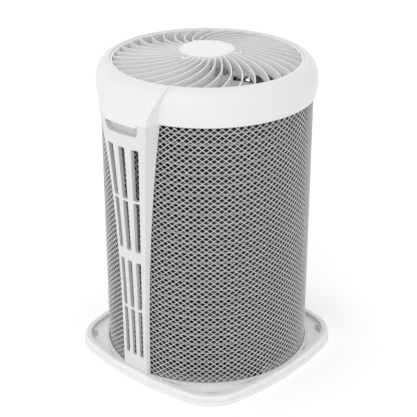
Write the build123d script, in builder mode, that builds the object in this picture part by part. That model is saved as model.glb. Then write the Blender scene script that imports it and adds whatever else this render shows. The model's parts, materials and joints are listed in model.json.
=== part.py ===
from build123d import *

import os
from math import cos, degrees, pi, radians, sin, sqrt

# Round outdoor unit of a split air conditioner: air is drawn in through a wrapped coil all round
# and blown out of the top. Millimetres, +Z up, front (the slotted column) towards -Y.
# The origin is the centre of the underside of the base.

os.makedirs("parts", exist_ok=True)

# ---- driving dimensions -------------------------------------------------------------------------

wall = 3.0                      # moulded wall of the big covers

base_half = 245.0               # centre to the middle of a side of the base
base_bow = 729.0                # radius of the bowed sides of the base
base_corner = 98.0              # corner radius of the base
base_height = 22.0
base_lip = 16.0                 # width of the raised rim of the base
corner_floor = 14.0             # height of the sunk corner floors
drip_floor = 12.0               # height of the floor inside the net
slot_centre = 260.0             # fixing slot, from the centre along a diagonal
slot_length = 35.0
slot_width = 11.0

net_radius = 227.5              # outside of the wire net
net_wire = 1.2
net_top = 612.6
net_opening = 16.0              # half angle left open at the rear

coil_radius = 208.0             # centre line of the coil tubes
coil_depth = 18.0               # radial depth of the fins
coil_bottom = 30.0
coil_top = 602.0
coil_opening = 22.0             # half angle left open at the rear
tube_radius = 3.25
tube_rows = 26
tube_pitch = 22.0
tube_first = 41.0               # height of the lowest tube
tube_overhang = 2.0             # angle by which each tube passes its end plate

cover_bottom = 613.0            # lower edge of the top cover
cover_top = 688.0
rim_radius = 205.5              # air outlet
bulge_radius = 236.0            # widest part of the top cover
bulge_height = 645.0
cover_foot = 232.5              # radius of the lower edge of the top cover

head_reach = 260.0              # front of the head panel at the parting line
head_half = 65.0                # its half width there
head_flare = 17.0               # how much wider it is above
head_flare_top = 670.0
tongue_half = 45.2              # panel tongue that hangs into the grip recess
tongue_bottom = 607.2

column_foot = 34.6              # half width of the front column at the base
column_spread = 30.2            # how much wider it is at the parting line
column_top = 612.4

grille_slope = 0.11             # fall of the grille per millimetre of radius
grille_peak = 701.5             # top of the vanes beside the hub
vane_count = 36
vane_twist = radians(0.2033)    # turn of a vane per millimetre of radius
vane_inner = 55.0
vane_depth = 20.0
vane_thickness = 2.0
hub_radius = 58.0
lug_radius = 66.0
lug_size = 9.0                  # radius of a screw lug
lug_angles = (-90, 30, 150)

blade_count = 5
blade_tip = 190.0
fan_middle = 636.0
shaft_radius = 5.0
running_gap = 0.05

valve_height = 85.0
valve_line = 230.0              # depth of the valve stems, towards the rear
neck_rise = 20.0                # from a valve body up to the top of its neck
gland_x = 45.0                  # cable gland, clear of the valve caps when they lift
gland_height = 128.0


# ---- helpers ------------------------------------------------------------------------------------

def finish(part, name):
    """Label a finished piece and write it as its own STEP file."""
    part.label = name
    export_step(part, f"parts/{name}.step")


def radial_plane(angle):
    """Upright plane through the Z axis: x points outwards at the angle, y points up."""
    a = radians(angle)
    return Plane(origin=(0, 0, 0), x_dir=(cos(a), sin(a), 0), z_dir=(sin(a), -cos(a), 0))


def front_plane(depth):
    """Upright plane facing the front, this far in front of the axis: x is X and y is Z."""
    return Plane.XZ.offset(depth)


def polar(radius, angle, height=0.0):
    """Point at a radius, an angle in degrees and a height."""
    return (radius * cos(radians(angle)), radius * sin(radians(angle)), height)


def section_box(r_low, r_high, z_low, z_high, mode=Mode.ADD):
    """Rectangle in an upright sketch, from its two corners."""
    with Locations(((r_low + r_high) / 2, (z_low + z_high) / 2)):
        Rectangle(r_high - r_low, z_high - z_low, mode=mode)


def upright_box(x, y, z, mode=Mode.ADD):
    """Box in a part, from its three ranges."""
    with Locations(((x[0] + x[1]) / 2, (y[0] + y[1]) / 2, (z[0] + z[1]) / 2)):
        Box(x[1] - x[0], y[1] - y[0], z[1] - z[0], mode=mode)


def upright_cylinder(radius, z, centre=(0, 0), mode=Mode.ADD):
    """Cylinder along Z in a part, from its height range."""
    with Locations((centre[0], centre[1], z[0])):
        Cylinder(radius, z[1] - z[0], align=(Align.CENTER, Align.CENTER, Align.MIN), mode=mode)


def rear_cylinder(radius, y, centre, mode=Mode.ADD):
    """Cylinder along Y in a part; centre is its (x, z)."""
    with BuildSketch(Plane.XZ.offset(-y[0])) as disc:
        with Locations(centre):
            Circle(radius)
    extrude(disc.sketch, amount=-(y[1] - y[0]), mode=mode)


def pipe(name, points, radius, bend):
    """Copper pipe swept along straight runs joined by bends."""
    with BuildPart() as run:
        with BuildLine() as route:
            FilletPolyline(*points, radius=bend)
        with BuildSketch(Plane(origin=route.line @ 0, z_dir=route.line % 0)):
            Circle(radius)
        sweep(path=route.line)
    finish(run.part, name)


def bowed_square(inset):
    """Square with bowed sides and round corners, drawn into the open sketch."""
    half = base_half - inset
    bow = base_bow - inset
    flat = bow - half
    corner = (sqrt(flat**2 + 2 * half * (2 * bow - half)) - flat) / 2
    with BuildLine() as outline:
        for turn in range(4):
            spot = [Vector(corner, -corner).rotate(Axis.Z, 90 * turn),
                    Vector(half, 0).rotate(Axis.Z, 90 * turn),
                    Vector(corner, corner).rotate(Axis.Z, 90 * turn)]
            ThreePointArc(*spot)
    make_face(outline.line)
    fillet(vertices(), base_corner - inset)


# ---- base ---------------------------------------------------------------------------------------

def build_base():
    skirt = 9.0                 # height of the lower flange of the base
    step = 2.0                  # ledge between the flange and the rim
    skin = 3.0
    seat_outer = 236.0
    seat_inner = net_radius + 0.8
    with BuildPart() as base_pan:
        with BuildSketch():
            bowed_square(0)
        extrude(amount=skirt)
        with BuildSketch(Plane.XY.offset(skirt)):
            bowed_square(step)
        extrude(amount=base_height - skirt)
        fillet(faces().sort_by(Axis.Z)[-1].edges(), 5.0)
        # sunk corner floors, left where the rim and the ring round the net don't cover them
        with BuildSketch(Plane.XY.offset(base_height)):
            bowed_square(base_lip)
            Circle(seat_outer, mode=Mode.SUBTRACT)
        extrude(amount=corner_floor - base_height, mode=Mode.SUBTRACT)
        with BuildSketch(Plane.XY.offset(base_height)):
            Circle(seat_inner)
        extrude(amount=drip_floor - base_height, mode=Mode.SUBTRACT)
        # hollow underside, with ribs, a centre foot and solid pads round the fixing slots
        with BuildSketch():
            bowed_square(wall + step)
            with PolarLocations(slot_centre - 8, 4, 45):
                RectangleRounded(42, slot_length + 24, 8, mode=Mode.SUBTRACT)
        extrude(amount=drip_floor - skin, mode=Mode.SUBTRACT)
        # the rings are made from the outside in, because each one clears what is inside it
        with BuildSketch():
            for ring in (222, 160, 100):
                Circle(ring + wall / 2)
                Circle(ring - wall / 2, mode=Mode.SUBTRACT)
            Circle(32)
            with PolarLocations(134, 8, 22.5):
                Rectangle(210, wall)
        extrude(amount=drip_floor - skin)
        with BuildSketch():
            with PolarLocations(slot_centre, 4, 45):
                SlotOverall(slot_length, slot_width, rotation=90)
        extrude(amount=base_height, mode=Mode.SUBTRACT)
        # drain holes between the ribs
        with BuildSketch():
            with PolarLocations(190, 4, 0):
                Circle(7)
        extrude(amount=base_height, mode=Mode.SUBTRACT)
    finish(base_pan.part, "base_pan")


def build_net():
    with BuildPart() as net_guard:
        with BuildSketch(radial_plane(90 + net_opening)):
            section_box(net_radius - net_wire, net_radius, drip_floor, net_top)
        revolve(axis=Axis.Z, revolution_arc=360 - 2 * net_opening)
    finish(net_guard.part, "net_guard")


# ---- coil ---------------------------------------------------------------------------------------

def tube_height(row):
    return tube_first + tube_pitch * row


def build_coil():
    inner = coil_radius - coil_depth / 2
    outer = coil_radius + coil_depth / 2
    fin_skin = 0.7              # the fin pack is a hollow envelope, which gives it its real mass
    tube_wall = 0.35
    octagon_growth = sqrt(pi / (2 * sqrt(2)))
    tube_start = coil_opening - tube_overhang
    with BuildPart() as coil_fins:
        with BuildSketch(radial_plane(90 + coil_opening)):
            section_box(inner, outer, coil_bottom, coil_top)
            section_box(inner + fin_skin, outer - fin_skin, coil_bottom + fin_skin, coil_top - fin_skin,
                        mode=Mode.SUBTRACT)
        revolve(axis=Axis.Z, revolution_arc=360 - 2 * coil_opening)
    finish(coil_fins.part, "coil_fins")

    # inside the fins each tube has an eight-sided wall with the metal area of the round one
    with BuildPart() as coil_tubes:
        with BuildSketch(radial_plane(90 + tube_start)):
            with Locations(*[(coil_radius, tube_height(row)) for row in range(tube_rows)]):
                RegularPolygon(tube_radius * octagon_growth, 8)
                RegularPolygon((tube_radius - tube_wall) * octagon_growth, 8, mode=Mode.SUBTRACT)
        revolve(axis=Axis.Z, revolution_arc=360 - 2 * tube_start)
    finish(coil_tubes.part, "coil_tubes")

    # brazed return bends: even pairs at one end of the coil, odd pairs at the other
    with BuildPart() as return_bends:
        for side, first in ((1, 0), (-1, 1)):
            end = radial_plane(90 + side * tube_start)
            for row in range(first, tube_rows - 1, 2):
                height = tube_height(row)
                with BuildSketch(end):
                    with Locations((coil_radius, height)):
                        Circle(tube_radius)
                middle = height + tube_pitch / 2
                pivot = Axis(polar(0, 0, middle), end.x_dir)
                revolve(axis=pivot, revolution_arc=-side * 180)
    finish(return_bends.part, "return_bends")

    with BuildPart() as coil_end_plates:
        for side in (1, -1):
            with BuildSketch(radial_plane(90 + side * coil_opening)):
                section_box(inner - 3, outer + 3, coil_bottom - 2, coil_top + 2)
                with Locations(*[(coil_radius, tube_height(row)) for row in range(tube_rows)]):
                    Circle(tube_radius + 0.3, mode=Mode.SUBTRACT)
            extrude(amount=side * 1.2)
    finish(coil_end_plates.part, "coil_end_plates")

    with BuildPart() as coil_feet:
        with BuildSketch(Plane.XY.offset(drip_floor)):
            with PolarLocations(coil_radius, 5, -90):
                Rectangle(22, 26)
        extrude(amount=coil_bottom - drip_floor)
    finish(coil_feet.part, "coil_feet")


# ---- top cover ----------------------------------------------------------------------------------

def cover_curve(inset, middle):
    """Round side of the cover's ring, from its lower edge up to the top at the middle radius."""
    foot = cover_foot - inset
    widest = bulge_radius - inset
    half_way = (cover_bottom + bulge_height) / 2
    ThreePointArc((foot, cover_bottom), (widest - (widest - foot) / 4, half_way), (widest, bulge_height))
    EllipticalCenterArc((middle, bulge_height), widest - middle, cover_top - inset - bulge_height)


def head_width(z):
    """Half width of the head panel at its face; it flares out towards the rim."""
    share = min(1.0, (z - cover_bottom) / (head_flare_top - cover_bottom))
    return head_half + head_flare * max(0.0, share) ** 1.3


def head_outline(grow, inset, z_low):
    """Face outline of the head panel, narrower by inset; grow widens it at the parting line only."""
    levels = [z_low + (head_flare_top - z_low) * step / 4 for step in range(5)]
    side = []
    for z in levels:
        fade = (head_flare_top - z) / (head_flare_top - cover_bottom)
        side.append((head_width(z) + grow * fade - inset, z))
    with BuildLine() as outline:
        Spline(*side)
        Spline(*[(-x, z) for x, z in side])
        Line(side[0], (-side[0][0], z_low))
        Polyline(side[-1], (side[-1][0], cover_top), (-side[-1][0], cover_top), (-side[-1][0], levels[-1]))
    make_face(outline.line)


def head_form(inset, z_low):
    """Head panel as a solid: its drafted outline cut to the bulging front surface."""
    reach = head_reach - inset
    crown = rim_radius + 1.0 - inset
    with BuildPart() as form:
        with BuildSketch(front_plane(head_reach + 5)):
            head_outline(-2, inset, z_low)
        with BuildSketch(front_plane(190)):
            head_outline(14, inset, z_low)
        loft(ruled=True)
        with BuildSketch(Plane.XZ):
            with BuildLine():
                EllipticalCenterArc((crown, cover_bottom), reach - crown, cover_top - inset - cover_bottom)
                Polyline((crown, cover_top - inset), (0, cover_top - inset), (0, z_low - 20),
                         (reach, z_low - 20), (reach, cover_bottom))
            make_face()
        revolve(axis=Axis.Z, mode=Mode.INTERSECT)
    return form.part


def build_top_cover():
    outer_head = head_form(0, cover_bottom)
    inner_head = head_form(wall, cover_bottom + wall)
    skirt_bottom = 640.0        # lower end of the wall inside the rim
    rim_edge = 1.0
    with BuildPart() as top_cover:
        add(outer_head)
        add(inner_head, mode=Mode.SUBTRACT)
        # the head is kept only outside the ring that it grows out of
        with BuildSketch(Plane.XZ):
            with BuildLine():
                cover_curve(rim_edge, rim_radius + rim_edge)
                Polyline((rim_radius + rim_edge, cover_top - rim_edge),
                         (rim_radius + rim_edge, cover_top + 5), (0, cover_top + 5),
                         (0, cover_bottom - 5), (cover_foot - rim_edge, cover_bottom - 5),
                         (cover_foot - rim_edge, cover_bottom))
            make_face()
        revolve(axis=Axis.Z, mode=Mode.SUBTRACT)
        with BuildSketch(Plane.XZ):
            with BuildLine():
                cover_curve(0, rim_radius + rim_edge)
                cover_curve(wall, rim_radius + rim_edge + wall)
                Polyline((rim_radius + rim_edge, cover_top), (rim_radius, cover_top - 1.2),
                         (rim_radius, skirt_bottom), (rim_radius + wall, skirt_bottom),
                         (rim_radius + wall, cover_top - wall - 2),
                         (rim_radius + rim_edge + wall, cover_top - wall))
                Line((cover_foot - wall, cover_bottom), (cover_foot, cover_bottom))
            make_face()
        revolve(axis=Axis.Z)
        # tongue that covers the upper edge of the grip recess
        with BuildSketch(Plane.XY.offset(tongue_bottom)):
            with BuildLine():
                front = head_reach - 0.3
                back = front - wall
                front_edge = sqrt(front**2 - tongue_half**2)
                back_edge = sqrt(back**2 - tongue_half**2)
                ThreePointArc((-tongue_half, -front_edge), (0, -front), (tongue_half, -front_edge))
                Line((tongue_half, -front_edge), (tongue_half, -back_edge))
                ThreePointArc((tongue_half, -back_edge), (0, -back), (-tongue_half, -back_edge))
                Line((-tongue_half, -back_edge), (-tongue_half, -front_edge))
            make_face()
        extrude(amount=cover_bottom - tongue_bottom + 1.5)
    finish(top_cover.part, "top_cover")


# ---- outlet grille, motor and fan ---------------------------------------------------------------

def grille_height(radius):
    """Top of the grille at a radius; it is a shallow cone."""
    return grille_peak - grille_slope * (radius - vane_inner)


def vane_point(radius, side, turn):
    """Point on a vane's spiral, moved sideways by half its thickness; turn is where the vane starts."""
    angle = turn - vane_twist * (radius - vane_inner)
    slant = vane_twist * radius
    along = Vector(1, -slant).normalized().rotate(Axis.Z, degrees(angle))
    across = Vector(-along.Y, along.X)
    return Vector(radius * cos(angle), radius * sin(angle)) + across * (side * vane_thickness / 2)


def build_grille():
    outer = rim_radius - 0.3
    ring = 5.2
    radii = (hub_radius - 3, (hub_radius + outer) / 2, outer - ring / 2)
    with BuildPart() as discharge_grille:
        with BuildSketch(Plane.XY.offset(640)):
            for vane in range(vane_count):
                turn = 2 * pi * vane / vane_count
                with BuildLine():
                    first = [vane_point(r, 1, turn) for r in radii]
                    second = [vane_point(r, -1, turn) for r in reversed(radii)]
                    ThreePointArc(*first)
                    Line(first[-1], second[0])
                    ThreePointArc(*second)
                    Line(second[-1], first[0])
                make_face()
        extrude(amount=80)
        with BuildSketch(Plane.XZ):
            inner_top = grille_height(0)
            outer_top = grille_height(outer)
            with BuildLine():
                Polyline((0, inner_top), (outer, outer_top), (outer, outer_top - vane_depth),
                         (0, inner_top - vane_depth), close=True)
            make_face()
        revolve(axis=Axis.Z, mode=Mode.INTERSECT)
        with BuildSketch(Plane.XZ):
            section_box(outer - ring, outer, 662, grille_height(outer))
            section_box(hub_radius - 8, hub_radius + 2, 679, grille_height(hub_radius))
            section_box(0, hub_radius - 7, 690.5, 694)
        revolve(axis=Axis.Z)
        with BuildSketch(Plane.XY.offset(679)):
            with Locations(*[polar(lug_radius, a) for a in lug_angles]):
                Circle(lug_size)
        extrude(amount=grille_height(lug_radius) - 679 + 0.6)
        with BuildSketch(Plane.XY.offset(670)):
            with Locations(*[polar(lug_radius, a) for a in lug_angles]):
                Circle(2.3)
        extrude(amount=40, mode=Mode.SUBTRACT)
        with BuildSketch(Plane.XY.offset(655)):
            with PolarLocations(outer - ring / 2, 6, 15):
                Circle(1.3)
        extrude(amount=20, mode=Mode.SUBTRACT)
    finish(discharge_grille.part, "discharge_grille")

    with BuildPart() as grille_screws:
        for angle in range(15, 375, 60):
            spot = polar(outer - ring / 2, angle)
            upright_cylinder(2.5, (656.6, 659.3), spot)
            upright_cylinder(1.2, (659.3, 672), spot)
    finish(grille_screws.part, "grille_screws")

    seat = grille_height(hub_radius)
    with BuildPart() as hub_cap:
        with BuildSketch(Plane.XZ):
            with BuildLine():
                Polyline((0, seat + 0.3), (hub_radius, seat + 0.3), (hub_radius, seat + 1.6))
                ThreePointArc((hub_radius, seat + 1.6), (hub_radius - 0.6, seat + 2.8),
                              (hub_radius - 2, seat + 3.2))
                Polyline((hub_radius - 2, seat + 3.2), (hub_radius - 5, seat + 3.2),
                         (hub_radius - 5.6, seat + 2.6), (hub_radius - 6.8, seat + 2.6),
                         (hub_radius - 7.4, seat + 3.4))
                Polyline((hub_radius - 7.4, seat + 3.4), (hub_radius / 2, seat + 4.1), (0, seat + 4.1),
                         (0, seat + 0.3))
            make_face()
        revolve(axis=Axis.Z)
        for x in (-24, 24):
            upright_cylinder(4, (694, seat + 1), (x, 0))
    finish(hub_cap.part, "hub_cap")

    with BuildPart() as motor_screws:
        for angle in lug_angles:
            spot = polar(lug_radius, angle)
            head = grille_height(lug_radius) + 0.6
            upright_cylinder(4.2, (head, head + 2.2), spot)
            upright_cylinder(2.2, (672, head), spot)
        fillet(faces().filter_by(Axis.Z).sort_by(Axis.Z)[-3:].edges(), 0.9)
    finish(motor_screws.part, "motor_screws")


def build_fan():
    can_radius = 46.0
    can_bottom = 642.0
    can_top = 679.0
    with BuildPart() as fan_motor_case:
        upright_cylinder(can_radius, (can_bottom, can_top))
        fillet(edges().sort_by(Axis.Z)[0], 4)
        with BuildSketch(Plane.XY.offset(can_top - 4)):
            Circle(can_radius + 5)
            with Locations(*[polar(lug_radius, a) for a in lug_angles]):
                Circle(8)
            for a in lug_angles:
                with Locations(polar(lug_radius - 12, a)):
                    Rectangle(26, 16, rotation=a)
        extrude(amount=4)
        with BuildSketch(Plane.XY.offset(670)):
            with Locations(*[polar(lug_radius, a) for a in lug_angles]):
                Circle(2.3)
        extrude(amount=20, mode=Mode.SUBTRACT)
        upright_cylinder(can_radius - 3, (can_bottom + 3, can_top - 3), mode=Mode.SUBTRACT)
        # bearing seats at both ends
        for low, high in ((can_bottom, can_bottom + 8), (can_top - 8, can_top)):
            upright_cylinder(15, (low, high))
        upright_cylinder(11, (can_bottom + 2, can_top - 2), mode=Mode.SUBTRACT)
        upright_cylinder(shaft_radius + 1, (can_bottom - 1, can_bottom + 4), mode=Mode.SUBTRACT)
    finish(fan_motor_case.part, "fan_motor_case")

    with BuildPart() as fan_motor_bearings:
        for low in (can_bottom + 2, can_top - 8):
            upright_cylinder(11, (low, low + 6))
        upright_cylinder(shaft_radius + running_gap, (can_bottom, can_top), mode=Mode.SUBTRACT)
    finish(fan_motor_bearings.part, "fan_motor_bearings")

    with BuildPart() as fan_motor_stator:
        upright_cylinder(can_radius - 3, (652, 670))
        upright_cylinder(27, (652, 670), mode=Mode.SUBTRACT)
    finish(fan_motor_stator.part, "fan_motor_stator")

    with BuildPart() as fan_motor_rotor:
        upright_cylinder(26, (652, 670))
        upright_cylinder(shaft_radius, (610, can_top - 3))
    finish(fan_motor_rotor.part, "fan_motor_rotor")

    cup_radius = 56.0
    with BuildPart() as fan_impeller:
        for blade in range(blade_count):
            turned = Plane.XY.rotated((0, 0, 360 / blade_count * blade))
            for radius, chord, pitch in ((50, 62, 40), (120, 95, 28), (199, 124, 20)):
                spot = turned.location * Location((radius, 0, fan_middle))
                face = Plane(origin=spot.position, x_dir=turned.y_dir, z_dir=turned.x_dir)
                with BuildSketch(face.rotated((0, 0, pitch))):
                    RectangleRounded(chord, 2.6, 1.2)
            loft()
        upright_cylinder(blade_tip, (fan_middle - 60, fan_middle + 60), mode=Mode.INTERSECT)
        upright_cylinder(cup_radius, (fan_middle - 22, fan_middle + 22))
        fillet(edges().filter_by(GeomType.CIRCLE).sort_by(Axis.Z)[0], 5)
        upright_cylinder(cup_radius - 3, (fan_middle - 19, fan_middle + 23), mode=Mode.SUBTRACT)
        upright_cylinder(10, (fan_middle - 22, fan_middle + 2))
        upright_cylinder(shaft_radius, (fan_middle - 30, fan_middle + 10), mode=Mode.SUBTRACT)
    finish(fan_impeller.part, "fan_impeller")

    with BuildPart() as fan_nut:
        with BuildSketch(Plane.XY.offset(fan_middle - 25)):
            RegularPolygon(8.5, 6)
            Circle(shaft_radius, mode=Mode.SUBTRACT)
        extrude(amount=3)
    finish(fan_nut.part, "fan_nut")

    with BuildPart() as fan_orifice:
        with BuildSketch(Plane.XZ):
            section_box(196, 198.5, 614, 662)
            section_box(196, rim_radius - 0.3, 659.5, 662)
        revolve(axis=Axis.Z)
        with BuildSketch(Plane.XY.offset(655)):
            with PolarLocations(rim_radius - 0.3 - 2.6, 6, 15):
                Circle(1.3)
        extrude(amount=20, mode=Mode.SUBTRACT)
    finish(fan_orifice.part, "fan_orifice")


# ---- front column -------------------------------------------------------------------------------

def column_half(z):
    """Half width of the column's face: narrow below and flaring to the head."""
    return column_foot + column_spread * (max(z, 0) / column_top) ** 2.3


def column_edge(z):
    """Depth of the face along its two long edges."""
    return 233.2 + 17.0 * (max(z, 0) / column_top) ** 3.5


def column_ridge(z):
    """Depth of the face along its middle, which stands further out than its edges."""
    return 233.6 + 26.3 * (max(z, 0) / column_top) ** 1.6


def column_section(z, side_inset, face_inset):
    """Cross-section of the column at a height, drawn into the open sketch."""
    back = 212.0
    half = column_half(z) - side_inset
    root = half + 8.0
    edge = column_edge(z) - face_inset
    ridge = column_ridge(z) - face_inset
    with BuildLine() as outline:
        ThreePointArc((-half, -edge), (0, -ridge), (half, -edge))
        Polyline((half, -edge), (root, -back), (-root, -back), (-half, -edge))
    make_face(outline.line)


def column_form(side_inset, face_inset, z_low, z_high):
    levels = 6
    with BuildPart() as form:
        for level in range(levels + 1):
            z = z_low + (z_high - z_low) * level / levels
            with BuildSketch(Plane.XY.offset(z)):
                column_section(z, side_inset, face_inset)
        loft()
    return form.part


def slot_outline(middle, z_low, z_high):
    """Slot that narrows with the column; middle is its centre as a share of the half width."""
    reach = 0.155
    levels = [z_low + (z_high - z_low) * step / 3 for step in range(4)]
    left = [((middle - reach) * column_half(z), z) for z in levels]
    right = [((middle + reach) * column_half(z), z) for z in levels]
    with BuildLine() as outline:
        Spline(*left)
        Line(left[-1], right[-1])
        Spline(*right)
        Line(right[0], left[0])
    make_face(outline.line)


def build_column():
    outer = column_form(0, 0, base_height + 0.3, column_top)
    hollow = column_form(2.6, 9.0, base_height - 10, 574)
    bar = 5.0
    tiers = ((59, 174), (174 + bar, 294), (319, 435.5), (435.5 + bar, 557))
    with BuildPart() as front_column:
        add(outer)
        add(hollow, mode=Mode.SUBTRACT)
        upright_cylinder(net_radius + 0.7, (0, 700), mode=Mode.SUBTRACT)
        for z_low, z_high in tiers:
            with BuildSketch(front_plane(270)):
                for middle in (-0.59, 0, 0.59):
                    slot_outline(middle, z_low, z_high)
                fillet(vertices(), 3.0)
            extrude(amount=-48, mode=Mode.SUBTRACT)
        # grip recess, open at its upper edge, where the head's tongue hangs over it
        with BuildSketch(front_plane(270)):
            with BuildLine():
                Polyline((-46, column_top + 1), (-46, 600), (-41, 586), (41, 586), (46, 600),
                         (46, column_top + 1), close=True)
            make_face()
            fillet(vertices().group_by(Axis.Y)[0], 9.0)
        extrude(amount=-27, mode=Mode.SUBTRACT)
        with BuildSketch(front_plane(270)):
            with Locations((-26, 598), (26, 598)):
                Circle(1.9)
        extrude(amount=-50, mode=Mode.SUBTRACT)
    finish(front_column.part, "front_column")

    with BuildPart() as column_screws:
        for x in (-26, 26):
            rear_cylinder(3.6, (-243 - 1.9, -243), (x, 598))
            rear_cylinder(1.8, (-243, -229), (x, 598))
    finish(column_screws.part, "column_screws")


# ---- rear service side --------------------------------------------------------------------------

def build_service_cover():
    bottom = 150.0
    top = 612.4
    face = 248.0
    half = 60.0

    def form(inset, depth_inset, z_low, z_high):
        with BuildPart() as block:
            for y, grow in ((face - depth_inset, 0.0), (205.0, 8.0)):
                with BuildSketch(Plane.XZ.offset(-y)):
                    section_box(-(half + grow - inset), half + grow - inset, z_low, z_high)
            loft(ruled=True)
        return block.part

    outer = form(0, 0, bottom, top)
    inner = form(wall, wall, bottom + wall, top - wall)
    with BuildPart() as service_cover:
        add(outer)
        fillet(edges().filter_by(Axis.Z).sort_by(Axis.Y)[-2:], 7.0)
        add(inner, mode=Mode.SUBTRACT)
        upright_cylinder(net_radius + 0.7, (0, 700), mode=Mode.SUBTRACT)
        # finger scoop and ventilation slots
        with BuildSketch(Plane.XZ.offset(-face - 5)):
            with Locations((0, 180)):
                SlotOverall(66, 20)
        extrude(amount=5 + 2 * wall, mode=Mode.SUBTRACT)
        with BuildSketch(Plane.XZ.offset(-face - 5)):
            with Locations((0, 500)):
                with GridLocations(0, 13, 1, 9):
                    SlotOverall(76, 5)
        extrude(amount=5 + 2 * wall, mode=Mode.SUBTRACT)
        with BuildSketch(Plane.XZ.offset(-face - 5)):
            with Locations((-46, 590), (46, 590), (-46, 166), (46, 166)):
                Circle(2.1)
        extrude(amount=5 + 2 * wall, mode=Mode.SUBTRACT)
    finish(service_cover.part, "service_cover")

    with BuildPart() as service_cover_screws:
        for x in (-46, 46):
            for z in (166, 590):
                rear_cylinder(4.2, (face, face + 2), (x, z))
                rear_cylinder(2.0, (face - 14, face), (x, z))
    finish(service_cover_screws.part, "service_cover_screws")


def build_valves():
    with BuildPart() as valve_plate:
        upright_box((-59, 59), (213.5, 215.5), (drip_floor, 148))
        upright_box((-59, 59), (205, 215.5), (drip_floor, drip_floor + 2))
        rear_cylinder(8.3, (210, 220), (-28, valve_height), mode=Mode.SUBTRACT)
        rear_cylinder(12.3, (210, 220), (16, valve_height), mode=Mode.SUBTRACT)
        rear_cylinder(8.1, (210, 220), (gland_x, gland_height), mode=Mode.SUBTRACT)
    finish(valve_plate.part, "valve_plate")

    stops = (("liquid", -28, 8.0, 5.56, 8.5, 4.0), ("gas", 16, 12.0, 9.525, 9.5, 6.0))
    for name, x, body, flare, neck, stem in stops:
        neck_top = valve_height + body + neck_rise
        with BuildPart() as stop_valve:
            rear_cylinder(body, (202, 240), (x, valve_height))
            upright_box((x - body - 5, x + body + 5), (215.5, 218.5),
                        (valve_height - body - 4, valve_height + body + 3))
            rear_cylinder(flare, (240, 249.7), (x, valve_height))
            upright_cylinder(neck, (valve_height, neck_top), (x, valve_line))
            if name == "gas":
                with BuildSketch(Plane.YZ.offset(x)):
                    with Locations((valve_line, valve_height)):
                        Circle(5.56)
                extrude(amount=29)
            upright_cylinder(stem + running_gap, (valve_height + 4, neck_top + 1), (x, valve_line),
                             mode=Mode.SUBTRACT)
        finish(stop_valve.part, f"{name}_valve_body")

        with BuildPart() as valve_stem:
            upright_cylinder(stem, (valve_height + 4.3, neck_top - 3), (x, valve_line))
            with BuildSketch(Plane.XY.offset(neck_top - 3)):
                with Locations((x, valve_line)):
                    RegularPolygon(stem * 0.6, 6)
            extrude(amount=-5, mode=Mode.SUBTRACT)
        finish(valve_stem.part, f"{name}_valve_stem")

        with BuildPart() as valve_cap:
            with BuildSketch(Plane.XY.offset(neck_top - 10)):
                with Locations((x, valve_line)):
                    RegularPolygon(neck + 3.2, 6)
            extrude(amount=14)
            upright_cylinder(neck + 0.35, (neck_top - 12, neck_top + 0.6), (x, valve_line),
                             mode=Mode.SUBTRACT)
            chamfer(faces().sort_by(Axis.Z)[-1].edges(), 0.8)
        finish(valve_cap.part, f"{name}_valve_cap")

    with BuildPart() as service_port_cap:
        with BuildSketch(Plane.YZ.offset(35)):
            with Locations((valve_line, valve_height)):
                Circle(8)
        extrude(amount=12.5)
        fillet(faces().sort_by(Axis.X)[-1].edges(), 1.5)
        with BuildSketch(Plane.YZ.offset(34)):
            with Locations((valve_line, valve_height)):
                Circle(5.56 + 0.35)
        extrude(amount=11.4, mode=Mode.SUBTRACT)
    finish(service_port_cap.part, "service_port_cap")

    with BuildPart() as cable_gland:
        rear_cylinder(11, (215.5, 224), (gland_x, gland_height))
        fillet(faces().sort_by(Axis.Y)[-1].edges(), 2)
        rear_cylinder(8, (209, 216), (gland_x, gland_height))
        rear_cylinder(4.5, (205, 230), (gland_x, gland_height), mode=Mode.SUBTRACT)
    finish(cable_gland.part, "cable_gland")


# ---- compressor and pipes -----------------------------------------------------------------------

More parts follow.
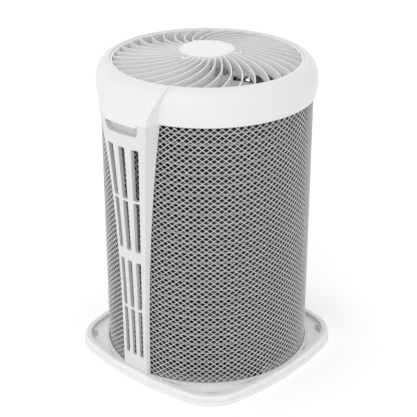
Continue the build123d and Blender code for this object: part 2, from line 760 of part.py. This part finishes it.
def build_compressor():
    shell = 60.0
    skin = 3.2
    low, high = 52.0, 270.0
    feet = (-90, 30, 150)
    with BuildPart() as compressor_shell:
        upright_cylinder(shell, (low, high))
        fillet(edges(), 18)
        cavity = offset(amount=-skin, mode=Mode.PRIVATE)
        add(cavity, mode=Mode.SUBTRACT)
        upright_cylinder(16, (high - 1, high + 4), (0, 22))
    finish(compressor_shell.part, "compressor_shell")

    with BuildPart() as compressor_stator:
        upright_cylinder(shell - skin, (155, 225))
        upright_cylinder(36.5, (150, 230), mode=Mode.SUBTRACT)
    finish(compressor_stator.part, "compressor_stator")

    with BuildPart() as compressor_pump:
        upright_cylinder(shell - skin, (84, 122))
        upright_cylinder(9 + running_gap, (80, 130), mode=Mode.SUBTRACT)
    finish(compressor_pump.part, "compressor_pump")

    with BuildPart() as compressor_rotor:
        upright_cylinder(36, (155, 225))
        upright_cylinder(9, (78, 240))
    finish(compressor_rotor.part, "compressor_rotor")

    with BuildPart() as compressor_feet:
        with BuildSketch(Plane.XY.offset(47)):
            Circle(52)
            for a in feet:
                with Locations(polar(58, a)):
                    Rectangle(62, 32, rotation=a)
            fillet(vertices().group_by(SortBy.DISTANCE)[-1], 12)
            with Locations(*[polar(78, a) for a in feet]):
                Circle(9.2, mode=Mode.SUBTRACT)
        extrude(amount=3.5)
        upright_cylinder(40, (50, low))
    finish(compressor_feet.part, "compressor_feet")

    with BuildPart() as grommet:
        with BuildSketch(Plane.XZ):
            with BuildLine():
                Polyline((4.3, drip_floor), (13, drip_floor), (11, 30), (13, 47), (9, 47), (9, 50.5),
                         (12, 50.5), (12, 56), (4.3, 56), close=True)
            make_face()
        revolve(axis=Axis.Z)
    with BuildPart() as compressor_grommets:
        with Locations(*[polar(78, a) for a in feet]):
            add(grommet.part)
    finish(compressor_grommets.part, "compressor_grommets")

    with BuildPart() as compressor_studs:
        for a in feet:
            upright_cylinder(4, (drip_floor, 66), polar(78, a))
            with BuildSketch(Plane.XY.offset(57.5)):
                with Locations(polar(78, a)):
                    RegularPolygon(7.5, 6)
            extrude(amount=5)
            upright_cylinder(11, (56, 57.5), polar(78, a))
    finish(compressor_studs.part, "compressor_studs")

    with BuildPart() as terminal_cover:
        upright_cylinder(19, (high, high + 22), (0, 22))
        fillet(faces().sort_by(Axis.Z)[-1].edges(), 4)
        upright_cylinder(16.6, (high - 1, high + 19), (0, 22), mode=Mode.SUBTRACT)
    finish(terminal_cover.part, "terminal_cover")

    bottle = 25.0
    bottle_at = (-89, 0)
    with BuildPart() as accumulator:
        upright_cylinder(bottle, (122, 250), bottle_at)
        fillet(edges(), 12)
        cavity = offset(amount=-2, mode=Mode.PRIVATE)
        add(cavity, mode=Mode.SUBTRACT)
    finish(accumulator.part, "accumulator")

    with BuildPart() as accumulator_strap:
        with BuildSketch(Plane.XY.offset(180)):
            with Locations(bottle_at):
                Circle(bottle + 1.2)
                Circle(bottle, mode=Mode.SUBTRACT)
            with Locations((-62.4, 0)):
                Rectangle(4.6, 18)
            Circle(shell, mode=Mode.SUBTRACT)
            with Locations(bottle_at):
                Circle(bottle, mode=Mode.SUBTRACT)
        extrude(amount=14)
    finish(accumulator_strap.part, "accumulator_strap")

    pipe("suction_elbow", [(-89, 0, 122), (-89, 0, 98), (-shell, 0, 98)], 5.0, 14)


def build_pipes():
    tube_end = 90 - (coil_opening - tube_overhang)
    stub = 20.0                 # run from the end of the coil to the rising pipes
    drier = (36, 197)
    x, y, _ = polar(coil_radius, tube_end)
    away = radians(tube_end)
    riser = (x - stub * sin(away), y + stub * cos(away))
    top = tube_height(tube_rows - 1)
    bottom = tube_height(0)
    pipe("discharge_pipe",
         [(0, -20, 270), (0, -20, 300), (*riser, 300), (*riser, top), (x, y, top)], tube_radius, 12)
    pipe("liquid_pipe", [(x, y, bottom), (*riser, bottom), (*drier, bottom), (*drier, 98)], tube_radius, 6)

    with BuildPart() as filter_drier:
        upright_cylinder(9, (104, 144), drier)
        fillet(edges(), 4)
        upright_cylinder(tube_radius, (98, 150), drier)
    finish(filter_drier.part, "filter_drier")

    pipe("capillary_tube",
         [(*drier, 150), (*drier, 172), (10, 180, 172), (-28, 180, 150), (-28, 180, valve_height),
          (-28, 202, valve_height)], 2.2, 8)
    pipe("suction_pipe",
         [(16, 202, valve_height), (16, 150, valve_height), (-89, 110, 140), (-89, 110, 285), (-89, 0, 285),
          (-89, 0, 250)], 5.5, 18)


# ---- electrics ----------------------------------------------------------------------------------

def build_electrics():
    x = (-52, 30)
    y = (122, 181)
    z = (345, 575)
    skin = 2.0
    with BuildPart() as electrics_post:
        upright_box((-36, 4), (118, 120), (drip_floor, 560))
        upright_box((-36, 4), (96, 120), (drip_floor, drip_floor + 2))
    finish(electrics_post.part, "electrics_post")

    with BuildPart() as electrics_box:
        upright_box(x, (120, y[1]), z)
        upright_box((x[0] + skin, x[1] - skin), (120 + skin, y[1] + 1), (z[0] + skin, z[1] - skin),
                    mode=Mode.SUBTRACT)
        upright_cylinder(7, (z[0] - 1, z[0] + 3), (-38, 150), mode=Mode.SUBTRACT)
    finish(electrics_box.part, "electrics_box")

    with BuildPart() as electrics_lid:
        upright_box((x[0] - 1, x[1] + 1), (y[1], y[1] + skin), (z[0] - 1, z[1] + 1))
        fillet(edges().filter_by(Axis.Y), 3)
    finish(electrics_lid.part, "electrics_lid")

    with BuildPart() as control_board:
        upright_box((-46, 24), (136, 137.6), (450, 566))
        upright_box((-40, -14), (137.6, 160), (520, 556))
        upright_box((-2, 16), (137.6, 155), (530, 556))
        upright_box((-36, 14), (137.6, 146), (462, 478))
        for post_x in (-42, 20):
            for post_z in (454, 562):
                rear_cylinder(2.5, (122, 136), (post_x, post_z))
    finish(control_board.part, "control_board")

    with BuildPart() as run_capacitor:
        upright_cylinder(20, (349, 430), (5, 144))
        fillet(edges(), 2)
        upright_box((-1, 1), (138, 150), (429, 438))
        upright_box((9, 11), (138, 150), (429, 438))
    finish(run_capacitor.part, "run_capacitor")

    with BuildPart() as terminal_block:
        upright_box((-48, -22), (122, 144), (356, 430))
        for step in range(5):
            level = 364 + 14 * step
            upright_box((-47, -37), (144, 147), (level, level + 8))
            upright_box((-33, -23), (144, 147), (level, level + 8))
    finish(terminal_block.part, "terminal_block")


build_base()
build_net()
build_coil()
build_top_cover()
build_grille()
build_fan()
build_column()
build_service_cover()
build_valves()
build_compressor()
build_pipes()
build_electrics()
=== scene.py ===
import json
from math import cos, pi, radians, sin

import bmesh
import bpy
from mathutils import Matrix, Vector


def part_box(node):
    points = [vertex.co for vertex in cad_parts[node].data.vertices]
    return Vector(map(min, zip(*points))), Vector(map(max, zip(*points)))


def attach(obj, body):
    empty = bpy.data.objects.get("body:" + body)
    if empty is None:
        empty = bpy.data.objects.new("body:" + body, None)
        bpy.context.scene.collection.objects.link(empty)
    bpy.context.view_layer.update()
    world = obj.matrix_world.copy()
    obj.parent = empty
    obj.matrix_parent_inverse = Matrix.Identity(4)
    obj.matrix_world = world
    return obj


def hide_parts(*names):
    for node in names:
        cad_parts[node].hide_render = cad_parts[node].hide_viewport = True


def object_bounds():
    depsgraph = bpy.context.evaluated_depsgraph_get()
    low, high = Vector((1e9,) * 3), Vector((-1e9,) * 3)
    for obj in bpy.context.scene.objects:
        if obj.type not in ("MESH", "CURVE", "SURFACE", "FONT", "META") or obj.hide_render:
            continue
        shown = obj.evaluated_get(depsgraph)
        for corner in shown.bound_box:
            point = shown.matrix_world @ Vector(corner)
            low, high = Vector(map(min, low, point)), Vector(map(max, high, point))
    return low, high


# Looks of a round outdoor unit of a split air conditioner. Everything is in metres, in the CAD frame:
# +Z is up, the head panel and the column face -Y, and the valves and the service cover face +Y.

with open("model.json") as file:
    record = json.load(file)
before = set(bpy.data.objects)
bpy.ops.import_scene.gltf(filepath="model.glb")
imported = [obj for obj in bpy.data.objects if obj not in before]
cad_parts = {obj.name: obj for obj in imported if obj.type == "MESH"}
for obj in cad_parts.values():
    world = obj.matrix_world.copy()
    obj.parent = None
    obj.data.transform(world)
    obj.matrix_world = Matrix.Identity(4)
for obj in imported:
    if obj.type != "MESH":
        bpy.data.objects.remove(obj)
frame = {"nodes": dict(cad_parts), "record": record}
cad_low, cad_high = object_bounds()

rear = pi / 2                        # angle of the rear, seen from above


# ---- materials ----------------------------------------------------------------------------------

patch_detail, patch_roughness = 4.0, 0.55    # noise that makes the soft patches
grain_detail, grain_roughness = 3.0, 0.6     # noise that makes the fine grain
grain_strength = 0.5
dark_end, light_end = 0.3, 0.7               # levels of the patches where the shades are reached
coat_roughness = 0.2
gloss_spread = 0.06                          # how far the roughness strays to either side


def node_of(tree, kind, **inputs):
    """A new shader node with the given values on its sockets; underscores stand for spaces."""
    node = tree.nodes.new(kind)
    for name, value in inputs.items():
        node.inputs[name.replace("_", " ")].default_value = value
    return node


def shades(colour, spread):
    """The darker and the lighter end of a colour."""
    dark = [channel * (1 - spread) for channel in colour]
    light = [min(1.0, channel * (1 + spread)) for channel in colour]
    return (*dark, 1.0), (*light, 1.0)


def material(name, colour, roughness, spread=0.03, patch=14.0, grain=1400.0, depth=0.00003,
             metallic=0.0, coat=0.0, stretch=(1, 1, 1), specular=0.5):
    """A surface with soft patches of shade and gloss, and a fine grain that catches the light."""
    made = bpy.data.materials.new(name)
    made.use_nodes = True
    tree = made.node_tree
    shader = tree.nodes["Principled BSDF"]
    shader.inputs["Metallic"].default_value = metallic
    shader.inputs["Coat Weight"].default_value = coat
    shader.inputs["Coat Roughness"].default_value = coat_roughness
    shader.inputs["Specular IOR Level"].default_value = specular
    place = tree.nodes.new("ShaderNodeTexCoord")
    scale = node_of(tree, "ShaderNodeMapping", Scale=stretch)
    tree.links.new(place.outputs["Object"], scale.inputs["Vector"])

    cloud = node_of(tree, "ShaderNodeTexNoise", Scale=patch, Detail=patch_detail,
                    Roughness=patch_roughness)
    tree.links.new(scale.outputs["Vector"], cloud.inputs["Vector"])
    ramp = tree.nodes.new("ShaderNodeValToRGB")
    dark, light = ramp.color_ramp.elements
    dark.position, light.position = dark_end, light_end
    dark.color, light.color = shades(colour, spread)
    tree.links.new(cloud.outputs["Fac"], ramp.inputs["Fac"])
    tree.links.new(ramp.outputs["Color"], shader.inputs["Base Color"])

    gloss = node_of(tree, "ShaderNodeMapRange")
    gloss.inputs["To Min"].default_value = roughness - gloss_spread
    gloss.inputs["To Max"].default_value = roughness + gloss_spread
    tree.links.new(cloud.outputs["Fac"], gloss.inputs["Value"])
    tree.links.new(gloss.outputs["Result"], shader.inputs["Roughness"])

    fine = node_of(tree, "ShaderNodeTexNoise", Scale=grain, Detail=grain_detail,
                   Roughness=grain_roughness)
    tree.links.new(scale.outputs["Vector"], fine.inputs["Vector"])
    bump = node_of(tree, "ShaderNodeBump", Strength=grain_strength, Distance=depth)
    tree.links.new(fine.outputs["Fac"], bump.inputs["Height"])
    tree.links.new(bump.outputs["Normal"], shader.inputs["Normal"])
    return made


brushed = (1, 1, 14)                 # grain drawn out sideways, as on sheet that was rolled or turned
drawn = (12, 12, 1)                  # grain drawn out along the height

finishes = {
    "white_plastic": material("white_plastic", (0.695, 0.697, 0.705), 0.40, spread=0.012, grain=2200.0,
                              depth=0.00002, coat=0.08),
    "vane_plastic": material("vane_plastic", (0.77, 0.772, 0.782), 0.42, spread=0.012, grain=2200.0,
                             depth=0.00002),
    "column_plastic": material("column_plastic", (0.635, 0.637, 0.643), 0.42, spread=0.012,
                               grain=2200.0, depth=0.00002),
    "base_plastic": material("base_plastic", (0.755, 0.757, 0.768), 0.50, spread=0.018, grain=1700.0,
                             depth=0.00003),
    "net_wire": material("net_wire", (0.52, 0.522, 0.528), 0.42, spread=0.07, patch=55.0, grain=2600.0,
                         depth=0.00002),
    "fin_aluminium": material("fin_aluminium", (0.125, 0.127, 0.130), 0.55, spread=0.18, patch=38.0,
                              grain=900.0, metallic=0.2, stretch=brushed),
    "tube_aluminium": material("tube_aluminium", (0.44, 0.445, 0.45), 0.36, spread=0.10, patch=45.0,
                               grain=1200.0, metallic=0.55),
    "copper": material("copper", (0.70, 0.37, 0.24), 0.30, spread=0.14, patch=34.0, grain=1500.0,
                       metallic=1.0, stretch=drawn),
    "zinc_sheet": material("zinc_sheet", (0.58, 0.60, 0.62), 0.38, spread=0.13, patch=70.0, grain=900.0,
                           metallic=0.9),
    "black_plastic": material("black_plastic", (0.035, 0.035, 0.038), 0.52, spread=0.15, grain=1600.0),
    "steel": material("steel", (0.56, 0.56, 0.58), 0.30, spread=0.08, patch=60.0, grain=1500.0,
                      metallic=1.0, stretch=brushed),
    "motor_paint": material("motor_paint", (0.55, 0.56, 0.58), 0.42, spread=0.08, grain=1300.0, coat=0.15),
    "winding_iron": material("winding_iron", (0.25, 0.22, 0.20), 0.48, spread=0.2, patch=90.0,
                             grain=700.0, depth=0.0002, metallic=0.6, stretch=brushed),
    "iron": material("iron", (0.22, 0.22, 0.23), 0.55, spread=0.16, patch=45.0, grain=700.0,
                     depth=0.00008, metallic=0.8),
    "fan_plastic": material("fan_plastic", (0.78, 0.782, 0.79), 0.42, spread=0.03, grain=1500.0),
    "brass": material("brass", (0.74, 0.55, 0.25), 0.28, spread=0.1, patch=70.0, grain=1600.0,
                      metallic=1.0),
    "black_paint": material("black_paint", (0.03, 0.03, 0.033), 0.36, spread=0.2, patch=25.0,
                            grain=420.0, depth=0.00012, coat=0.25),
    "rubber": material("rubber", (0.028, 0.028, 0.03), 0.75, spread=0.2, patch=50.0, grain=1100.0,
                       depth=0.00006, specular=0.3),
    "pipe_foam": material("pipe_foam", (0.10, 0.10, 0.10), 0.85, spread=0.06, patch=60.0, grain=380.0,
                          depth=0.0004, specular=0.2),
    "board": material("board", (0.05, 0.22, 0.10), 0.45, spread=0.2, patch=160.0, grain=900.0,
                      depth=0.00008),
    "capacitor_can": material("capacitor_can", (0.62, 0.63, 0.65), 0.34, spread=0.08, grain=1300.0,
                              metallic=0.9, stretch=drawn),
}
slot_of_node = {row["node"]: row["material_slot"] for row in frame["record"]["subparts"]}


# ---- mesh tools ---------------------------------------------------------------------------------

wire_crease = 80                     # edges flatter than this, in degrees, shade as one round surface
tube_crease = 60
moulding_crease = 40


def add_piece(name, mesh, body, slot, nodes, finish=None):
    """Puts a finished mesh in the scene in place of the CAD nodes that it stands for."""
    piece = bpy.data.objects.new(name, mesh)
    bpy.context.scene.collection.objects.link(piece)
    mesh.materials.clear()
    mesh.materials.append(finishes[finish or slot])
    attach(piece, body)
    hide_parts(*nodes)
    return piece


def shade(mesh, limit):
    """Rounds the shading, except over edges sharper than the limit in degrees."""
    mesh.polygons.foreach_set("use_smooth", [True] * len(mesh.polygons))
    mesh.set_sharp_from_angle(angle=radians(limit))


def ring_points(centre, across, upward, radius, sides):
    """Points of one round section of a wire."""
    turns = [2 * pi * side / sides for side in range(sides)]
    return [centre + (across * cos(turn) + upward * sin(turn)) * radius for turn in turns]


def add_wire(points, faces, path, radii, sides):
    """Adds a closed wire along a path; its thickness may change from point to point."""
    first = len(points)
    for index, centre in enumerate(path):
        ahead = path[min(index + 1, len(path) - 1)] - path[max(index - 1, 0)]
        outward = Vector((centre.x, centre.y, 0)).normalized()
        across = ahead.cross(outward).normalized()
        upward = across.cross(ahead).normalized()
        points.extend(ring_points(centre, across, upward, radii[index], sides))
    for index in range(len(path) - 1):
        start = first + index * sides
        for side in range(sides):
            following = (side + 1) % sides
            faces.append((start + side, start + following, start + sides + following,
                          start + sides + side))
    last = first + (len(path) - 1) * sides
    faces.append(tuple(first + side for side in reversed(range(sides))))
    faces.append(tuple(last + side for side in range(sides)))


def mesh_from(name, points, faces):
    """A mesh with its faces turned outwards."""
    mesh = bpy.data.meshes.new(name)
    mesh.from_pydata([tuple(point) for point in points], [], faces)
    shell = bmesh.new()
    shell.from_mesh(mesh)
    bmesh.ops.recalc_face_normals(shell, faces=shell.faces)
    shell.to_mesh(mesh)
    shell.free()
    return mesh


def at(radius, angle, height):
    """A point given by its radius, its angle from above and its height."""
    return Vector((radius * cos(angle), radius * sin(angle), height))


# ---- wire net -----------------------------------------------------------------------------------

net_cells_round = 90
net_cell_rows = 49
net_gap = radians(16)                # half of the rear opening
strand = 0.00100                     # radius of a strand between two knots
knot = 0.00130                       # radius where two strands are welded together
net_lap = 0.00115                    # how far the inner strands lie behind the outer ones
net_edge_gap = 0.006                 # angle between the rear opening and the net's side wires
edge_wire = 0.0012                   # radius of the wires that close the net
steps_per_row = 4                    # two knots and two free stretches to each row of cells
strand_sides, edge_wire_sides = 5, 6
ring_steps, side_steps = 120, 40     # straight runs in an edge wire round the net and up its side


def net_strands(name, direction, radius, low, high):
    """One family of strands, all slanting the same way, each thicker at its knots."""
    steps = net_cell_rows * steps_per_row
    rise = (high.z - low.z) / steps
    swing = direction * 2 * pi / net_cells_round / steps_per_row
    points, faces = [], []
    for number in range(net_cells_round):
        start = rear + 2 * pi * number / net_cells_round
        run = []
        for step in range(steps + 1):
            angle = start + swing * step
            off_rear = abs((angle - rear + pi) % (2 * pi) - pi)
            shown = off_rear > net_gap + net_edge_gap
            if shown:
                run.append((at(radius, angle, low.z + rise * step), strand if step % 2 else knot))
            if run and (not shown or step == steps):
                if len(run) > 1:
                    path, radii = zip(*run)
                    add_wire(points, faces, path, radii, strand_sides)
                run = []
    mesh = mesh_from(name, points, faces)
    shade(mesh, wire_crease)
    add_piece(name, mesh, "casing", "net_wire", ["net_guard"])


def net_edges(radius, low, high):
    """The wires that close the net: one round its top, one round its foot and one up each side."""
    points, faces = [], []
    start, sweep = rear + net_gap + net_edge_gap, 2 * (pi - net_gap - net_edge_gap)
    for height in (low.z + edge_wire, high.z - edge_wire):
        path = [at(radius, start + sweep * step / ring_steps, height) for step in range(ring_steps + 1)]
        add_wire(points, faces, path, [edge_wire] * len(path), edge_wire_sides)
    for angle in (start, start + sweep):
        path = [at(radius, angle, low.z + (high.z - low.z) * step / side_steps)
                for step in range(side_steps + 1)]
        add_wire(points, faces, path, [edge_wire] * len(path), edge_wire_sides)
    mesh = mesh_from("net_edge_wires", points, faces)
    shade(mesh, wire_crease)
    add_piece("net_edge_wires", mesh, "casing", "net_wire", ["net_guard"])


def build_net():
    """Two families of slanting strands, one over the other, welded where they cross."""
    low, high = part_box("net_guard")
    over = high.x - knot
    net_strands("net_strands_outer", 1, over, low, high)
    net_strands("net_strands_inner", -1, over - net_lap, low, high)
    net_edges(high.x - edge_wire, low, high)


# ---- coil ---------------------------------------------------------------------------------------

tube_pitch = 0.022                   # from one tube row up to the next
tube_radius = 0.00325
tube_sides, tube_steps = 12, 96
coil_gap = radians(22)               # half of the rear opening of the fins
tube_gap = radians(20)               # half of the rear opening of the tubes
fin_spacing = 0.0031                 # from one fin to the next at the outside of the coil
fin_thickness = 0.0003
fin_depth = 0.018
notch_height = 0.0042                # half height of the cut in the fins where a tube shows
notch_taper = 0.7                    # height of the cut at its floor, as a share of that at its mouth
notch_floor = 0.75                   # how far out of the tube's middle the cut ends, in tube radii
fin_bend = 0.45                      # sideways lean of each half of a fin, which bends it along its middle


def tube_rows():
    """Heights of the coil's tubes, from the lowest up."""
    low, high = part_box("coil_tubes")
    count = round((high.z - low.z) / tube_pitch) + 1
    middle = (low.z + high.z) / 2
    return [middle + (row - (count - 1) / 2) * tube_pitch for row in range(count)]


def fin_outline(inner, outer, bottom, top, rows):
    """Outline of the outer half of a fin as radius and height, cut back to the tube at every row."""
    cut = inner + tube_radius * notch_floor
    outline = [(inner, bottom), (outer, bottom)]
    for height in rows:
        outline += [(outer, height - notch_height), (cut, height - notch_height * notch_taper),
                    (cut, height + notch_height * notch_taper), (outer, height + notch_height)]
    return outline + [(outer, top), (inner, top)]


def add_plate(points, faces, outline, angle, slant, middle):
    """Adds one thin upright plate that leans sideways as it leaves the middle of the fins."""
    along, across = at(1, angle, 0), at(1, angle + pi / 2, 0)
    first, size = len(points), len(outline)
    for side in (-0.5, 0.5):
        for radius, height in outline:
            aside = side * fin_thickness + slant * (radius - middle)
            points.append(along * radius + across * aside + Vector((0, 0, height)))
    faces.append(tuple(first + k for k in reversed(range(size))))
    faces.append(tuple(first + size + k for k in range(size)))
    for k in range(size):
        after = (k + 1) % size
        faces.append((first + k, first + after, first + size + after, first + size + k))


def build_fins():
    """Thin upright fins set on edge all round, bent along the middle and notched at each tube row."""
    low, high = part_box("coil_fins")
    outer = high.x
    middle, inner = outer - fin_depth / 2, outer - fin_depth
    near = fin_outline(middle, outer, low.z, high.z, tube_rows())
    far = [(inner, low.z), (middle, low.z), (middle, high.z), (inner, high.z)]
    margin = coil_gap + fin_bend * fin_depth / 2 / inner
    sweep = 2 * (pi - margin)
    count = int(sweep * outer / fin_spacing)
    points, faces = [], []
    for number in range(count):
        angle = rear + margin + sweep * number / (count - 1)
        add_plate(points, faces, near, angle, fin_bend, middle)
        add_plate(points, faces, far, angle, -fin_bend, middle)
    mesh = bpy.data.meshes.new("fin_plates")
    mesh.from_pydata([tuple(point) for point in points], [], faces)
    add_piece("fin_plates", mesh, "casing", "fin_aluminium", ["coil_fins"])


def build_tubes():
    """The round tubes that run through the fins, one above the other."""
    low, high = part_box("coil_fins")
    middle = high.x - fin_depth / 2
    sweep = 2 * (pi - tube_gap)
    points, faces = [], []
    for height in tube_rows():
        path = [at(middle, rear + tube_gap + sweep * step / tube_steps, height)
                for step in range(tube_steps + 1)]
        add_wire(points, faces, path, [tube_radius] * len(path), tube_sides)
    mesh = mesh_from("coil_tube_runs", points, faces)
    shade(mesh, tube_crease)
    add_piece("coil_tube_runs", mesh, "casing", "tube_aluminium", ["coil_tubes"])


# ---- moulded covers -----------------------------------------------------------------------------

weld_distance = 0.000002             # points closer than this are one point
flat_angle = radians(0.02)           # faces that meet flatter than this are one face
sharp_angle = radians(35)            # edges sharper than this are rounded off
round_segments = 2


def soften(node, name, body, width, finish=None):
    """A copy of a CAD moulding with its sharp edges rounded off, as moulded plastic has them."""
    mesh = frame["nodes"][node].data.copy()
    mesh.name = name
    shell = bmesh.new()
    shell.from_mesh(mesh)
    bmesh.ops.remove_doubles(shell, verts=shell.verts, dist=weld_distance)
    bmesh.ops.dissolve_limit(shell, angle_limit=flat_angle, verts=shell.verts, edges=shell.edges)
    edges = [e for e in shell.edges if e.is_manifold and e.calc_face_angle() > sharp_angle]
    bmesh.ops.bevel(shell, geom=edges, offset=width, segments=round_segments, profile=0.5, affect="EDGES",
                    clamp_overlap=True)
    shell.to_mesh(mesh)
    shell.free()
    shade(mesh, moulding_crease)
    piece = add_piece(name, mesh, body, slot_of_node[node], [node], finish)
    normals = piece.modifiers.new("even_shading", "WEIGHTED_NORMAL")
    normals.keep_sharp = True


def build_mouldings():
    """The outer plastic parts; the number in each line is how far its edges are rounded, in metres."""
    soften("top_cover", "top_cover_moulding", "casing", 0.0010)
    soften("front_column", "front_column_moulding", "casing", 0.0008, "column_plastic")
    soften("discharge_grille", "discharge_grille_moulding", "casing", 0.0004, "vane_plastic")
    soften("hub_cap", "hub_cap_moulding", "casing", 0.0008, "vane_plastic")
    soften("base_pan", "base_pan_moulding", "casing", 0.0010)
    soften("service_cover", "service_cover_moulding", "rear_access_cover", 0.0008)


# ---- camera, light and floor --------------------------------------------------------------------

floor_half = 9.0
floor_glow = 0.07                    # lifts the floor to the white of the backdrop
floor_drop = 0.0005                  # keeps the floor just clear of the base's underside
lamp_target = Vector((0, 0, 0.35))
camera_target = Vector((0, 0, 0.3576))
camera_azimuth, camera_elevation = 42.42, 24.51      # degrees, from the front and above the floor
camera_distance = 2.601
camera_lens, sensor_width = 100.9, 36.0              # millimetres
camera_shift = (0.0037, -0.025)


def build_floor():
    """A pale studio floor that runs out of sight."""
    corners = [(x * floor_half, y * floor_half, 0) for x, y in ((-1, -1), (1, -1), (1, 1), (-1, 1))]
    mesh = bpy.data.meshes.new("studio_floor")
    mesh.from_pydata(corners, [], [(0, 1, 2, 3)])
    paper = material("floor_paper", (0.97, 0.97, 0.97), 0.9, spread=0.004, patch=2.0, grain=300.0,
                     specular=0.1)
    glow = paper.node_tree.nodes["Principled BSDF"].inputs
    glow["Emission Color"].default_value = (1, 1, 1, 1)
    glow["Emission Strength"].default_value = floor_glow
    mesh.materials.append(paper)
    floor = bpy.data.objects.new("studio_floor", mesh)
    floor.location.z = cad_low.z - floor_drop
    bpy.context.scene.collection.objects.link(floor)


def around(azimuth, elevation, distance, centre):
    """A point seen from the centre at this azimuth from the front and this height, in degrees."""
    turn, rise = radians(azimuth), radians(elevation)
    return centre + Vector((sin(turn) * cos(rise), -cos(turn) * cos(rise), sin(rise))) * distance


def softbox(name, azimuth, elevation, distance, size, power):
    """A large square lamp that looks at the middle of the unit."""
    lamp = bpy.data.lights.new(name, "AREA")
    lamp.size = size
    lamp.energy = power
    holder = bpy.data.objects.new(name, lamp)
    holder.location = around(azimuth, elevation, distance, lamp_target)
    facing = lamp_target - holder.location
    holder.rotation_euler = facing.to_track_quat("-Z", "Y").to_euler()
    bpy.context.scene.collection.objects.link(holder)


def build_light():
    """An even white surround with a key lamp to the right of the front and a weak fill to the left."""
    world = bpy.data.worlds.new("studio")
    bpy.context.scene.world = world
    world.use_nodes = True
    surround = world.node_tree.nodes["Background"].inputs
    surround["Color"].default_value = (1, 1, 1, 1)
    surround["Strength"].default_value = 1.0
    softbox("key", azimuth=20, elevation=38, distance=3.2, size=2.2, power=20)
    softbox("fill", azimuth=-60, elevation=30, distance=3.4, size=2.4, power=4)
    bpy.context.scene.view_settings.view_transform = "Standard"


def build_camera():
    """A long lens that sees the unit from the right of its front and a little from above."""
    lens = bpy.data.cameras.new("camera")
    lens.lens = camera_lens
    lens.sensor_width = sensor_width
    lens.shift_x, lens.shift_y = camera_shift
    lens.clip_end = 60.0
    camera = bpy.data.objects.new("camera", lens)
    camera.location = around(camera_azimuth, camera_elevation, camera_distance, camera_target)
    facing = camera_target - camera.location
    camera.rotation_euler = facing.to_track_quat("-Z", "Y").to_euler()
    bpy.context.scene.collection.objects.link(camera)
    bpy.context.scene.camera = camera


# ---- everything together ------------------------------------------------------------------------

def paint_nodes():
    """Gives every CAD node that stays in view the finish of its own material slot."""
    for name, node in frame["nodes"].items():
        node.data.materials.clear()
        node.data.materials.append(finishes[slot_of_node[name]])


build_camera()
build_light()
build_floor()
paint_nodes()
build_net()
build_fins()
build_tubes()
build_mouldings()
